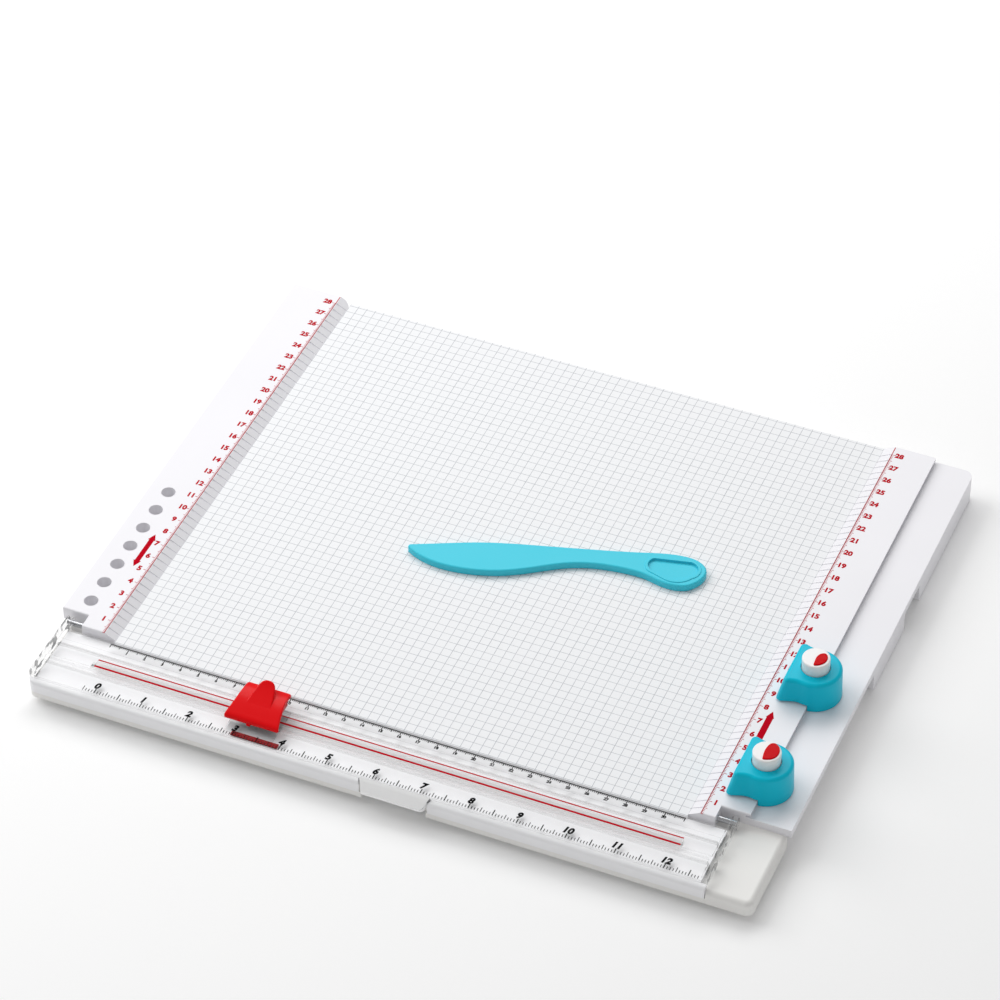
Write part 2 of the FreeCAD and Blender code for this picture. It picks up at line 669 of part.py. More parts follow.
def carriage_shoe():
    """Clear shoe that hooks the carriage under the rail and reaches forward to the cursor."""
    half = SHOE_L / 2
    back = BAND_FRONT - RAIL_WALL - SLOT_Y - SLIDE_CLEARANCE
    front = CURSOR_FRONT + CURSOR_D
    shoe = around_slot(-half, half, front, back, SHOE_TOP - SHOE_T, SHOE_TOP)
    return shoe.cut(holder_window(SHOE_TOP + 1))


def cursor_bar():
    """Red bar at the shoe's front edge, read against the inch scale."""
    half = CURSOR_L / 2
    return around_slot(CURSOR_SHIFT - half, CURSOR_SHIFT + half, CURSOR_FRONT, CURSOR_FRONT + CURSOR_D,
                       SHOE_TOP - SHOE_T, SHOE_TOP)


def shell_plan():
    """Plan of the shell: wide in front, narrow at the back, drawn in at the waist, with round corners."""
    front, back = SLOT_Y - SHELL_FRONT_D, SLOT_Y + SHELL_BACK_D
    wide, narrow = SHELL_FRONT_W / 2, SHELL_BACK_W / 2
    waist = (wide + narrow) / 2 - SHELL_WAIST
    right = [(CARRIAGE_X + wide, front, 0), (CARRIAGE_X + waist, SLOT_Y, 0), (CARRIAGE_X + narrow, back, 0)]
    left = [(2 * CARRIAGE_X - x, y, z) for x, y, z in right]
    outline = [line(left[0], right[0]), arc(*right), line(right[2], left[2]), arc(*left)]
    plan = prism_z(outline, 0, 2 * SHELL_CROWN)
    plan = fillet(plan, SHELL_BACK_R, lambda b: upright(b) and b.YMin > back - 0.01)
    return fillet(plan, SHELL_FRONT_R, lambda b: upright(b) and b.YMax < front + 0.01)


def swept(above, below, half):
    """A solid along X between two smooth lines, both given as (distance behind the slot, height)."""
    x = CARRIAGE_X - half
    above = [(x, SLOT_Y + y, z) for y, z in above]
    below = [(x, SLOT_Y + y, z) for y, z in below]
    edges = [curve(above), line(above[-1], below[-1]), curve(below), line(below[0], above[0])]
    return Part.Face(Part.Wire(Part.__sortEdges__(edges))).extrude(Vector(2 * half, 0, 0))


def shell_arch():
    """Thin shell that slopes up from the front and bends over to nearly level at the back."""
    front, back, top = -SHELL_FRONT_D, SHELL_BACK_D, SHELL_CROWN
    foot = top - SHELL_DROP
    outer = [(front, foot), (front + 0.5, foot + 1.6), (front + 3.2, foot + 3.1), (-0.5, top - 0.5),
             (4.0, top), (back, top - 1.2)]
    inner = [(front + 1.2, foot), (front + 1.8, foot + 1.0), (front + 3.6, foot + 1.7),
             (-0.5, top - 0.5 - SHELL_T), (4.0, top - SHELL_T), (back, top - 1.2 - SHELL_T)]
    arch = swept(outer, inner, SHELL_FRONT_W).common(shell_plan())
    face = max(arch.Faces, key=lambda one: one.Area)
    rim = [edge for edge in face.Edges if edge.BoundBox.ZMax > foot + 1]
    return arch.makeFillet(SHELL_EDGE_R, rim)


def thumb_fin():
    """Thumb rest: a tongue that runs on in the slope of the shell's front and ends above its back."""
    top, tip_y = SHELL_CROWN, SHELL_BACK_D
    end_y, end_z = tip_y + FIN_T, top + FIN_RISE + FIN_T / 2
    front = [(-6.0, top - 2.25), (-3.0, top - 1.15), (0.5, top + 0.1), (4.5, top + 1.55), (end_y, end_z)]
    back = [(-1.0, top - 1.2), (5.6, top - 0.6), (end_y + FIN_T / 2, end_z - FIN_T * 0.9)]
    root, tip = FIN_ROOT_W / 2, FIN_TIP_W / 2
    right = [(root, -5.0), (root * 0.78, 0.2), (tip * 1.24, 4.0), (tip, tip_y - 3.4),
             (tip * 0.65, tip_y - 0.9)]
    plan = right + [(0, tip_y)] + [(-x, y) for x, y in reversed(right)]
    plan = [(CARRIAGE_X + x, SLOT_Y + y, 0) for x, y in plan]
    stencil = prism_z([curve(plan), line(plan[-1], plan[0])], 0, 3 * top)
    tongue = swept(front, back, FIN_ROOT_W).common(stencil)
    return fillet(tongue, FIN_EDGE_R, lambda b: b.XLength > FIN_ROOT_W - 0.1 and b.YLength > tip_y)


def shell_lug():
    """Small lug under the shell's front edge, in front of the rail's front ridge."""
    x = LUG_SHIFT - LUG_W / 2
    foot = SHELL_CROWN - SHELL_DROP
    front = -SHELL_FRONT_D + GAP / 2
    return around_slot(x, x + LUG_W, front, front + LUG_T, foot - LUG_DROP, foot + GAP)


def carriage_shell():
    half = HOLDER_L / 2
    side = HOLDER_T / 2
    seat = carriage_spring_places()[1] - CARRIAGE_X + CARRIAGE_SPRING_R
    post = around_slot(-seat, seat, -side - SHELL_T, side + SHELL_T, SHELL_CLEAR,
                       SHELL_CROWN - SHELL_T + GAP / 2)
    slot = around_slot(-half, half, -side, side, SHELL_CLEAR - 1, holder_top())
    return fuse([shell_arch(), thumb_fin(), shell_lug(), post]).cut(slot)


def holder_top():
    return SHELL_CLEAR + 1


def blade_holder():
    """Flat plastic holder that carries the blade down through the slot."""
    half = HOLDER_T / 2
    length = HOLDER_L / 2 - PRESS_GAP
    holder = around_slot(-length, length, -half, half, CHANNEL_TOP, holder_top())
    pocket = around_slot(-length - 1, length + 1, -BLADE_T / 2 - PRESS_GAP, BLADE_T / 2 + PRESS_GAP,
                         CHANNEL_TOP - 1, SLIDER_TOP)
    return holder.cut(pocket)


def blade():
    """Pointed steel blade, held in the holder's cleft."""
    tip = BED_TOP + SLIDE_CLEARANCE
    half = HOLDER_L / 2 - 2 * GAP
    outline = [(CARRIAGE_X - half, SLIDER_TOP - GAP), (CARRIAGE_X - half, CHANNEL_TOP), (CARRIAGE_X, tip),
               (CARRIAGE_X + half, CHANNEL_TOP), (CARRIAGE_X + half, SLIDER_TOP - GAP)]
    return prism_y(outline, SLOT_Y - BLADE_T / 2, SLOT_Y + BLADE_T / 2)


def carriage_springs():
    """Two springs between slider and shell that hold the blade up."""
    springs = [tube(CARRIAGE_SPRING_R, SPRING_WALL, x, SLOT_Y, SPRING_FLOOR, SHELL_CLEAR)
               for x in carriage_spring_places()]
    return Part.makeCompound(springs)


# Edge punches

PUNCH_X = EDGE_X - PUNCH_CENTRE_X
PUNCH_BOTTOM = LEDGE_RISE + GAP
THROAT_TOP = BAR_TOP + PAPER_GAP
WELL_FLOOR = THROAT_TOP + PUNCH_FLOOR_T
WELL_R = COLLAR_R + SLIDE_CLEARANCE
BUTTON_BOTTOM = WELL_FLOOR + BUTTON_TRAVEL + GAP
BUTTON_TOP = PUNCH_TOP + BUTTON_RISE
BUTTON_ROOF = BUTTON_TOP - BUTTON_WALL
COLLAR_TOP = PUNCH_TOP - BUTTON_LIP_T - SLIDE_CLEARANCE
DIE_X = EDGE_X + GAP


def punch_outline(y, reach, half, radius, z):
    """Plan of a punch at one height: flat towards the board, slightly waisted, and round outside."""
    left = PUNCH_X - reach
    joint = math.radians(PUNCH_JOINT_ANGLE)
    corner = (left, y + half, z)
    start = (PUNCH_X - radius * math.cos(joint), y + radius * math.sin(joint), z)
    low_corner, low_start = [(px, 2 * y - py, pz) for px, py, pz in (corner, start)]
    round_end = arc(start, (PUNCH_X + radius, y, z), low_start)
    outline = [line(low_corner, corner), line(corner, start), round_end, line(low_start, low_corner)]
    disc = Part.Face(Part.Wire(Part.__sortEdges__(outline))).extrude(Vector(0, 0, 2))
    disc = fillet(disc, PUNCH_WAIST_R, lambda b: upright(b) and abs(b.XMin - start[0]) < 0.01)
    disc = fillet(disc, PUNCH_CORNER_R, lambda b: upright(b) and abs(b.XMin - left) < 0.01)
    return [face.OuterWire for face in disc.Faces if face.BoundBox.ZMax < z + 0.01][0]


def punch_block(y):
    """Outer block of a punch, narrower at the top than at its foot, with its top edge rounded."""
    foot = punch_outline(y, PUNCH_REACH, PUNCH_HALF_L, PUNCH_R, PUNCH_BOTTOM)
    top = punch_outline(y, PUNCH_TOP_REACH, PUNCH_TOP_HALF_L, PUNCH_TOP_R, PUNCH_TOP)
    block = Part.makeLoft([foot, top], True, True)
    return fillet(block, PUNCH_EDGE_R, lambda b: b.ZMin > PUNCH_TOP - 0.01)


def punch_housing(y):
    """Housing: stands on the ledge, reaches over the bar, open below for the paper and the die."""
    body = punch_block(y)
    side = PUNCH_HALF_L + 1
    over_bar = box(PUNCH_X - PUNCH_REACH - 1, DIE_X, y - side, y + side, PUNCH_BOTTOM - 1, THROAT_TOP)
    half = DIE_L / 2 + GAP
    throat = box(DIE_X - 1, die_post_x() - DIE_POST_R, y - half, y + half, PUNCH_BOTTOM, THROAT_TOP)
    die_room = box(DIE_X - 1, DIE_X + DIE_W + GAP, y - half, y + half, PUNCH_BOTTOM - 1, BAR_TOP)
    well = rod(WELL_R, PUNCH_X, y, WELL_FLOOR, PUNCH_TOP - BUTTON_LIP_T)
    mouth = rod(BUTTON_R + BUTTON_RING, PUNCH_X, y, WELL_FLOOR, PUNCH_TOP + 1)
    guide = rod(CUTTER_R + SLIDE_CLEARANCE, PUNCH_X + CUTTER_X, y, THROAT_TOP - 1, WELL_FLOOR + 1)
    posts = [rod(DIE_POST_R + PRESS_GAP, die_post_x(), post_y, BAR_TOP - 1, BAR_TOP + DIE_POST_H + GAP)
             for post_y in die_post_ys(y)]
    return cut(body, [over_bar, throat, die_room, well, mouth, guide] + posts)


def die_post_x():
    return DIE_X + DIE_W - DIE_POST_R * 1.5


def die_post_ys(y):
    reach = DIE_L / 2 - 2 * DIE_POST_R
    return y - reach, y + reach


def punch_die(y):
    """Steel die under the housing, level with the bar's top, with a clip in the bar's groove."""
    half = DIE_L / 2
    plate = box(DIE_X, DIE_X + DIE_W, y - half, y + half, PUNCH_BOTTOM, BAR_TOP)
    clip_bottom = LEDGE_RISE + 2 * SLIDE_CLEARANCE
    clip = box(EDGE_X - CLIP_REACH, DIE_X, y - half, y + half, clip_bottom, clip_bottom + CLIP_T)
    posts = [rod(DIE_POST_R, die_post_x(), post_y, BAR_TOP, BAR_TOP + DIE_POST_H)
             for post_y in die_post_ys(y)]
    hole = rod(CUTTER_R + PIN_CLEARANCE, PUNCH_X + CUTTER_X, y, 0, BAR_TOP + 1)
    return fuse([plate, clip] + posts).cut(hole)


def punch_button(y):
    """White push button, with a collar that stops it in the housing and a hollow underside."""
    body = rod(BUTTON_R, PUNCH_X, y, BUTTON_BOTTOM, BUTTON_TOP)
    body = fillet(body, BUTTON_EDGE_R, lambda b: b.ZMin > BUTTON_TOP - 0.01)
    collar = rod(COLLAR_R, PUNCH_X, y, COLLAR_TOP - COLLAR_T, COLLAR_TOP)
    hollow = rod(BUTTON_R - BUTTON_WALL, PUNCH_X, y, BUTTON_BOTTOM - 1, BUTTON_ROOF)
    web = box(PUNCH_X + CUTTER_X - CUTTER_R, PUNCH_X + BUTTON_R - BUTTON_WALL / 2,
              y - CUTTER_R, y + CUTTER_R, BUTTON_BOTTOM, BUTTON_ROOF)
    return fuse([body.fuse(collar).cut(hollow), web])


def inlay_outline(y, name):
    """Fat drop on the front punch and a smaller drop on the rear one, both pointed towards the front."""
    points = {"front": [(-0.4, -5.9), (-1.1, -2.0), (-1.0, 2.6), (0.2, 5.5), (2.3, 6.1), (4.6, 4.5),
                        (5.9, 0.6), (4.9, -3.0), (2.6, -5.0), (-0.4, -5.9)],
              "rear": [(0.4, -5.8), (0.0, -1.2), (0.8, 2.4), (2.8, 4.0), (4.9, 2.9), (5.4, -1.3),
                       (3.6, -4.2), (0.4, -5.8)]}
    drop = [(PUNCH_X + dx, y + dy, 0) for dx, dy in points[name]]
    return [curve(drop[:5]), curve(drop[4:])]


def button_inlay(y, name):
    inlay = prism_z(inlay_outline(y, name), BUTTON_TOP - INLAY_T, BUTTON_TOP + INLAY_RISE)
    inlay = fillet(inlay, INLAY_TIP_R, lambda b: upright(b) and b.YMax < y - BUTTON_R / 2)
    return fillet(inlay, INLAY_EDGE_R, lambda b: b.ZMin > BUTTON_TOP + INLAY_RISE - 0.01)


def punch_cutter(y):
    """Steel cutter under the button, just clear of the paper until the button is pressed."""
    return rod(CUTTER_R, PUNCH_X + CUTTER_X, y, THROAT_TOP + GAP, BUTTON_BOTTOM)


def punch_spring(y):
    return tube(PUNCH_SPRING_R, SPRING_WALL, PUNCH_X + PUNCH_SPRING_X, y, WELL_FLOOR, BUTTON_ROOF)


def punch(name, y):
    inlay = button_inlay(y, name)
    return {"punch_housing_" + name: punch_housing(y), "punch_die_" + name: punch_die(y),
            "punch_button_" + name: punch_button(y).cut(inlay), "button_inlay_" + name: inlay,
            "punch_cutter_" + name: punch_cutter(y), "punch_spring_" + name: punch_spring(y)}


# Bone folder

FOLDER_DRAWN_L = 154.3


def placed(points):
    """Points counted from the folder's tip, drawn at FOLDER_DRAWN_L and stretched to its length."""
    return [(x * FOLDER_L / FOLDER_DRAWN_L, y, 0) for x, y in points]


def folder_outline():
    """Outline of the folder: pointed blade, narrow neck, rounded butt."""
    tip = (-1.6, -0.4)
    back_edge = [tip, (16, 2.5), (36, 5.6), (67, 7.0), (96, 7.4), (119, 8.2), (134, 8.8), (142, 8.0),
                 (149.0, 5.6), (153.2, 1.6)]
    belly = [(153.2, 1.6), (154.3, -2.6), (153.0, -7.0), (149.4, -11.4), (145.0, -14.0), (141, -14.5),
             (132, -12.5), (124, -8.4), (111, -4.9), (97, -3.5), (82, -5.1), (66, -10.2), (50, -14.5),
             (32, -15.3), (14, -11.6), tip]
    return [curve(placed(back_edge)), curve(placed(belly))]


def pocket_outline():
    """Rounded triangle sunk in the butt."""
    top = [(126.6, 4.0), (146.0, 3.2)]
    right = [(146.0, 3.2), (150.1, -1.6), (146.5, -7.6)]
    bottom = [(146.5, -7.6), (139.5, -11.0), (134.0, -9.6)]
    slope = [(134.0, -9.6), (125.6, -4.6)]
    left = [(125.6, -4.6), (123.9, -0.5), (126.6, 4.0)]
    return [line(*placed(top)), arc(*placed(right)), arc(*placed(bottom)), line(*placed(slope)),
            arc(*placed(left))]


def bone_folder():
    """Folder with a blunt tip, rounded upper edges and a rimmed pocket, laid on the board."""
    body = prism_z(folder_outline(), 0, FOLDER_T)
    body = fillet(body, FOLDER_TIP_R, lambda b: upright(b) and b.XMax < 0)
    body = fillet(body, FOLDER_EDGE_R, lambda b: b.ZMin > FOLDER_T - 0.01)
    pocket = pocket_outline()
    rim_top = FOLDER_T + RIM_RISE
    outer = Part.Wire(Part.__sortEdges__(pocket)).makeOffset2D(RIM_W)
    rim = prism_z(outer.Edges, FOLDER_T - FOLDER_EDGE_R, rim_top)
    rim = fillet(rim, RIM_EDGE_R, lambda b: b.ZMin > rim_top - 0.01)
    body = fuse([body, rim]).cut(prism_z(pocket, FOLDER_T - POCKET_D, rim_top + 1))
    body.rotate(Vector(0, 0, 0), Vector(0, 0, 1), FOLDER_TURN)
    body.translate(Vector(FOLDER_TIP[0], FOLDER_TIP[1], SLIDE_CLEARANCE))
    return body


# All pieces by name

def pieces():
    made = {
        "base_tray": base_tray(), "bottom_cover": bottom_cover(), "cover_screws": cover_screws(),
        "deck_screws": deck_screws(), "rubber_feet": rubber_feet(),
        "scoring_board": scoring_board(), "left_bar": left_bar(), "right_bar": right_bar(),
        "side_ledge": side_ledge(), "front_bed": front_bed(), "cutting_strip": cutting_strip(),
        "clear_rail": clear_rail(),
        "carriage_slider": carriage_slider(), "carriage_shoe": carriage_shoe(), "cursor_bar": cursor_bar(),
        "carriage_shell": carriage_shell(), "blade_holder": blade_holder(), "blade": blade(),
        "carriage_springs": carriage_springs(), "bone_folder": bone_folder(),
    }
    made.update(hinge_pins())
    for name, y in PUNCH_YS.items():
        made.update(punch(name, y))
    return made


def main():
    os.makedirs("parts", exist_ok=True)
    for name, shape in pieces().items():
        shape.translate(ORIGIN.negative())
        shape.exportStep(os.path.join("parts", name + ".step"))
        print(name, "valid" if shape.isValid() else "NOT VALID", len(shape.Solids), round(shape.Volume, 1))


main()
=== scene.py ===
"""Paper trimmer with a scoring board: looks, printed scales, floor, light and camera.

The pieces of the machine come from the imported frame. This file gives each of them its material,
winds the springs, adds the printed lines, ticks and numbers, and sets the studio around them.
"""
import math

import bmesh
import bpy
from mathutils import Matrix, Vector


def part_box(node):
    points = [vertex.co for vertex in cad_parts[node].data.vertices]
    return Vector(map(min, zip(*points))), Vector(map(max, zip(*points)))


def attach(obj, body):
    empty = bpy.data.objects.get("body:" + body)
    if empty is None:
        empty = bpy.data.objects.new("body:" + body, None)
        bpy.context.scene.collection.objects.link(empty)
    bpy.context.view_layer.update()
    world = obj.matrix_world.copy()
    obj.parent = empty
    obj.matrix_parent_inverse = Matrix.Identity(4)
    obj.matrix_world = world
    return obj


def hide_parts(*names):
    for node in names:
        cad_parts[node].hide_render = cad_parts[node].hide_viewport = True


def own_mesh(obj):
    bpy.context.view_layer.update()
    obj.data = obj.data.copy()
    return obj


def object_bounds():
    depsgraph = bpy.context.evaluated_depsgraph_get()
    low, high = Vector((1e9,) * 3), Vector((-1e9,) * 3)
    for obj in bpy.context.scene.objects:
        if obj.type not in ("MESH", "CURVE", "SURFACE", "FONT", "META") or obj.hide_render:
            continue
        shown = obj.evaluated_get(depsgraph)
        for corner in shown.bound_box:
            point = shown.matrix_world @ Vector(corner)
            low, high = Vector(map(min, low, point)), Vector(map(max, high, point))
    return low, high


bl_info = {
    "name": "Paper Trimmer",
    "version": (1, 0, 0),
    "blender": (4, 5, 0),
    "location": "View3D > Sidebar > Trimmer",
    "description": "Finishes, prints and studio of a desk paper trimmer with a scoring board",
    "category": "Object",
}

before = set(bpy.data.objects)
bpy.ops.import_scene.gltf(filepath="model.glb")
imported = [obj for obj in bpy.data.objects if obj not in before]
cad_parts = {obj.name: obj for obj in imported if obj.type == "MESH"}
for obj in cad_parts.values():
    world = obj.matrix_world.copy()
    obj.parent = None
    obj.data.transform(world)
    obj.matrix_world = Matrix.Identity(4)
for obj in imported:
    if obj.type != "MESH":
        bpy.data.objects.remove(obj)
CAD_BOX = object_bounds()
MM = 0.001

BOARD_LOW, BOARD_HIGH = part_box("scoring_board")
LEFT_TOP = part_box("left_bar")[1].z
RIGHT_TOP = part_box("right_bar")[1].z

# The grid's front left corner on the board's face, from which every print is counted
CORNER = Vector((BOARD_LOW.x, BOARD_LOW.y + 0.5 * MM, BOARD_HIGH.z))
PRINT_T = 0.04 * MM

# Where the frosted lift tab meets the clear rail
TAB_ROOT_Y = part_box("clear_rail")[0].y + 5.2 * MM


class TrimmerSizes(bpy.types.PropertyGroup):
    """Sizes of what is printed on the trimmer"""
    cell: bpy.props.FloatProperty(name="Grid cell", description="Side of one cell of the grid",
                                  default=5 * MM, unit="LENGTH")
    grid_line: bpy.props.FloatProperty(name="Grid line", description="Width of a line of the grid",
                                       default=0.34 * MM, unit="LENGTH")
    tick: bpy.props.FloatProperty(name="Millimetre tick", description="Length of a millimetre tick",
                                  default=1.3 * MM, unit="LENGTH")
    tick_width: bpy.props.FloatProperty(name="Tick width", description="Width of a tick on the side bars",
                                        default=0.3 * MM, unit="LENGTH")
    number_height: bpy.props.FloatProperty(name="Bar numbers", description="Height of the red numbers",
                                           default=3.3 * MM, unit="LENGTH")
    inch_height: bpy.props.FloatProperty(name="Rail numbers", description="Height of the black numbers",
                                         default=3.9 * MM, unit="LENGTH")


class TrimmerColours(bpy.types.PropertyGroup):
    """Colours of the trimmer's plastics and inks, as sRGB hex values"""
    body: bpy.props.StringProperty(name="Body", description="White of the bars and ledge",
                                   default="F2F1F5")
    tray: bpy.props.StringProperty(name="Tray", description="Grey white of the tray",
                                   default="F0EFEC")
    # The bed's white is lifted above the body's as painted light, against the shade that the clear rail
    # throws on it
    bed: bpy.props.StringProperty(name="Bed", description="White of the bed under the rail",
                                  default="F7F7F9")
    board: bpy.props.StringProperty(name="Board", description="White of the scoring board",
                                    default="F1F2F4")
    grid: bpy.props.StringProperty(name="Grid ink", description="Grey of the grid",
                                   default="B1B5BA")
    carriage: bpy.props.StringProperty(name="Carriage", description="Red of the cutter",
                                       default="E8060E")
    punch: bpy.props.StringProperty(name="Punch", description="Cyan of the punches",
                                    default="00C4DE")
    folder: bpy.props.StringProperty(name="Folder", description="Cyan of the bone folder",
                                     default="42D2E8")
    red_ink: bpy.props.StringProperty(name="Red ink", description="Red of the prints",
                                      default="BC0A20")
    black_ink: bpy.props.StringProperty(name="Black ink", description="Black of the prints",
                                        default="141416")


# The colour sockets of a Mix node, whose names it also gives to its float and vector sockets
MIX_A, MIX_B, MIX_RESULT = 6, 7, 2


def linear(hex_colour):
    """sRGB hex to a linear colour with alpha."""
    values = [int(hex_colour[i:i + 2], 16) / 255 for i in (0, 2, 4)]
    return tuple(v / 12.92 if v <= 0.04045 else ((v + 0.055) / 1.055) ** 2.4 for v in values) + (1.0,)


def node(tree, kind, settings=None, inputs=None):
    """Adds a node; an input is a value or an output socket that is linked to it."""
    made = tree.nodes.new(kind)
    for name, value in (settings or {}).items():
        setattr(made, name, value)
    for name, value in (inputs or {}).items():
        if isinstance(value, bpy.types.NodeSocket):
            tree.links.new(value, made.inputs[name])
        else:
            made.inputs[name].default_value = value
    return made


def new_material(name, **surface):
    """A material with a surface shader, whose plain values are set on the shader itself."""
    material = bpy.data.materials.new(name)
    material.use_nodes = True
    shader = material.node_tree.nodes["Principled BSDF"]
    for key, value in surface.items():
        shader.inputs[key.replace("_", " ")].default_value = value
    return material, material.node_tree, shader


def moulded(name, hex_colour, grain_mm, rough, depth_mm=0.006, spread=0.05, **surface):
    """Injection moulded plastic: a fine spark-eroded grain and slightly uneven gloss."""
    material, tree, shader = new_material(name, Base_Color=linear(hex_colour), IOR=1.54, **surface)
    place = node(tree, "ShaderNodeTexCoord")
    grain = node(tree, "ShaderNodeTexNoise", inputs={"Vector": place.outputs["Object"],
                 "Scale": 1 / (grain_mm * MM), "Detail": 2.0, "Roughness": 0.6})
    flow = node(tree, "ShaderNodeTexNoise", inputs={"Vector": place.outputs["Object"],
                "Scale": 1 / (60 * MM), "Detail": 3.0})
    gloss = node(tree, "ShaderNodeMapRange", inputs={"Value": flow.outputs["Fac"], "From Min": 0.3,
                 "From Max": 0.7, "To Min": rough - spread, "To Max": rough + spread})
    relief = node(tree, "ShaderNodeBump", inputs={"Height": grain.outputs["Fac"],
                  "Distance": depth_mm * MM, "Strength": 0.6})
    tree.links.new(gloss.outputs["Result"], shader.inputs["Roughness"])
    tree.links.new(relief.outputs["Normal"], shader.inputs["Normal"])
    return material


def board_sheet(sizes, colours):
    """Satin polypropylene sheet, screen printed with a grey grid of thin lines."""
    material, tree, shader = new_material("printed_polypropylene_sheet", IOR=1.49, Roughness=0.42)
    place = node(tree, "ShaderNodeTexCoord")
    local = node(tree, "ShaderNodeMapping", {"vector_type": "POINT"},
                 {"Vector": place.outputs["Object"], "Location": -CORNER})
    split = node(tree, "ShaderNodeSeparateXYZ", inputs={"Vector": local.outputs["Vector"]})
    lines = []
    for axis in ("X", "Y"):
        cells = node(tree, "ShaderNodeMath", {"operation": "DIVIDE"},
                     {0: split.outputs[axis], 1: sizes.cell})
        away = node(tree, "ShaderNodeMath", {"operation": "PINGPONG"}, {0: cells.outputs[0], 1: 0.5})
        lines.append(node(tree, "ShaderNodeMath", {"operation": "LESS_THAN"},
                          {0: away.outputs[0], 1: sizes.grid_line / sizes.cell / 2}))
    crossed = node(tree, "ShaderNodeMath", {"operation": "MAXIMUM"},
                   {0: lines[0].outputs[0], 1: lines[1].outputs[0]})
    facing = node(tree, "ShaderNodeSeparateXYZ", inputs={"Vector": place.outputs["Normal"]})
    on_top = node(tree, "ShaderNodeMath", {"operation": "GREATER_THAN"},
                  {0: facing.outputs["Z"], 1: 0.9})
    printed = node(tree, "ShaderNodeMath", {"operation": "MULTIPLY"},
                   {0: crossed.outputs[0], 1: on_top.outputs[0]})
    patchy = node(tree, "ShaderNodeTexNoise", inputs={"Vector": place.outputs["Object"],
                  "Scale": 1 / (9 * MM)})
    strength = node(tree, "ShaderNodeMapRange", inputs={"Value": patchy.outputs["Fac"], "From Min": 0.3,
                    "From Max": 0.7, "To Min": 0.75, "To Max": 1.0})
    inked = node(tree, "ShaderNodeMath", {"operation": "MULTIPLY"},
                 {0: printed.outputs[0], 1: strength.outputs["Result"]})
    colour = node(tree, "ShaderNodeMix", {"data_type": "RGBA"},
                  {"Factor": inked.outputs[0], MIX_A: linear(colours.board), MIX_B: linear(colours.grid)})
    tree.links.new(colour.outputs[MIX_RESULT], shader.inputs["Base Color"])
    sheen = node(tree, "ShaderNodeTexNoise", inputs={"Vector": place.outputs["Object"],
                 "Scale": 1 / (0.5 * MM)})
    relief = node(tree, "ShaderNodeBump", inputs={"Height": sheen.outputs["Fac"],
                  "Distance": 0.004 * MM, "Strength": 0.5})
    tree.links.new(relief.outputs["Normal"], shader.inputs["Normal"])
    return material


def clear_acrylic():
    """Polished clear acrylic: the bed shows through, slopes look whiter with a painted sheen, the end
    walls break up into painted dark refraction streaks and the lift tab is frosted."""
    material, tree, shader = new_material("polished_clear_acrylic", IOR=1.49, Roughness=0.1)
    place = node(tree, "ShaderNodeTexCoord")
    facing = node(tree, "ShaderNodeSeparateXYZ", inputs={"Vector": place.outputs["Normal"]})
    # Painted sheen: the slopes are made more opaque, so their white stands in for the highlights along
    # the ridges' flanks, while the flats stay almost clear
    upright = node(tree, "ShaderNodeMath", {"operation": "ABSOLUTE"}, {0: facing.outputs["Z"]})
    cover = node(tree, "ShaderNodeMapRange", inputs={"Value": upright.outputs[0], "From Min": 0.3,
                 "From Max": 1.0, "To Min": 0.22, "To Max": 0.015})
    where = node(tree, "ShaderNodeSeparateXYZ", inputs={"Vector": place.outputs["Object"]})
    on_tab = node(tree, "ShaderNodeMath", {"operation": "LESS_THAN"},
                  {0: where.outputs["Y"], 1: TAB_ROOT_Y})
    frosted = node(tree, "ShaderNodeMath", {"operation": "MULTIPLY"}, {0: on_tab.outputs[0], 1: 0.98})
    whole = node(tree, "ShaderNodeMath", {"operation": "MAXIMUM"},
                 {0: cover.outputs["Result"], 1: frosted.outputs[0]})
    # Painted refraction: the end walls' sideways faces get dark streaks in their colour and opacity,
    # standing in for the dark refractions in clear walls
    sideways = node(tree, "ShaderNodeMath", {"operation": "ABSOLUTE"}, {0: facing.outputs["X"]})
    refraction_noise = node(tree, "ShaderNodeTexNoise", inputs={"Vector": place.outputs["Object"],
                  "Scale": 1 / (5 * MM), "Detail": 1.0})
    painted_refraction_streak = node(tree, "ShaderNodeMapRange", inputs={"Value": refraction_noise.outputs["Fac"], "From Min": 0.5,
                  "From Max": 0.58, "To Min": 0.0, "To Max": 0.8})
    dark = node(tree, "ShaderNodeMath", {"operation": "MULTIPLY"},
                {0: sideways.outputs[0], 1: painted_refraction_streak.outputs["Result"]})
    colour = node(tree, "ShaderNodeMix", {"data_type": "RGBA"},
                  {"Factor": dark.outputs[0], MIX_A: linear("FFFFFF"), MIX_B: linear("3E4247")})
    tree.links.new(colour.outputs[MIX_RESULT], shader.inputs["Base Color"])
    alpha = node(tree, "ShaderNodeMath", {"operation": "MAXIMUM"},
                 {0: whole.outputs[0], 1: dark.outputs[0]})
    tree.links.new(alpha.outputs[0], shader.inputs["Alpha"])
    flow = node(tree, "ShaderNodeTexNoise", inputs={"Vector": place.outputs["Object"],
                "Scale": 1 / (30 * MM)})
    relief = node(tree, "ShaderNodeBump", inputs={"Height": flow.outputs["Fac"],
                  "Distance": 0.02 * MM, "Strength": 0.3})
    tree.links.new(relief.outputs["Normal"], shader.inputs["Normal"])
    return material


def ink(name, hex_colour):
    """Screen printing ink: a thin matt film, slightly uneven where the mesh laid it."""
    material, tree, shader = new_material(name, IOR=1.5, Roughness=0.6, Specular_IOR_Level=0.0)
    place = node(tree, "ShaderNodeTexCoord")
    film = node(tree, "ShaderNodeTexNoise", inputs={"Vector": place.outputs["Object"],
                "Scale": 1 / (0.6 * MM)})
    full = linear(hex_colour)
    thin = tuple(min(1, c * 1.12 + 0.002) for c in full[:3]) + (1.0,)
    colour = node(tree, "ShaderNodeMix", {"data_type": "RGBA"},
                  {"Factor": film.outputs["Fac"], MIX_A: full, MIX_B: thin})
    tree.links.new(colour.outputs[MIX_RESULT], shader.inputs["Base Color"])
    return material


